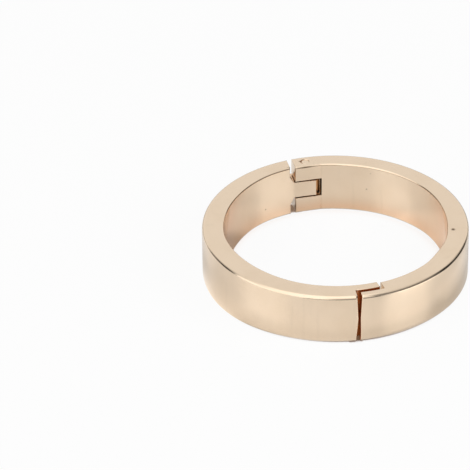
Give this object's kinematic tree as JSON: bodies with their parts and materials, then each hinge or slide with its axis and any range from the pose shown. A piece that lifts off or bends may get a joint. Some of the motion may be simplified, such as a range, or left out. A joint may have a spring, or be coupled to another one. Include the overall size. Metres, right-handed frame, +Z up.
{
  "type": "binder ring",
  "caption": "Flat-banded metal ring whose halves swing on a fork-and-tongue hinge and close at a lapped latch, for holding punched leaves or a strap.",
  "frame": {"origin": "centre of the closed ring's bore, on the side face it lies on", "axes": "+Z up along the ring's axis; +Y towards the hinge; +X towards the half that carries the hinge fork"},
  "size_m": [0.0382, 0.0382, 0.0078],
  "materials": {
    "plated_band": "polished light gold plating",
    "plated_pin": "polished light gold plating, peened ends"
  },
  "bodies": {
    "fork_side": {"fork_half": "plated_band", "hinge_pin": "plated_pin"},
    "tongue_side": {"tongue_half": "plated_band"}
  },
  "joints": [
    {"name": "ring_hinge", "type": "hinge", "parent": "fork_side", "child": "tongue_side", "pos_m": [0, 0.01755, 0], "axis": [0, 0, -1], "range_deg": [0, 108]}
  ]
}
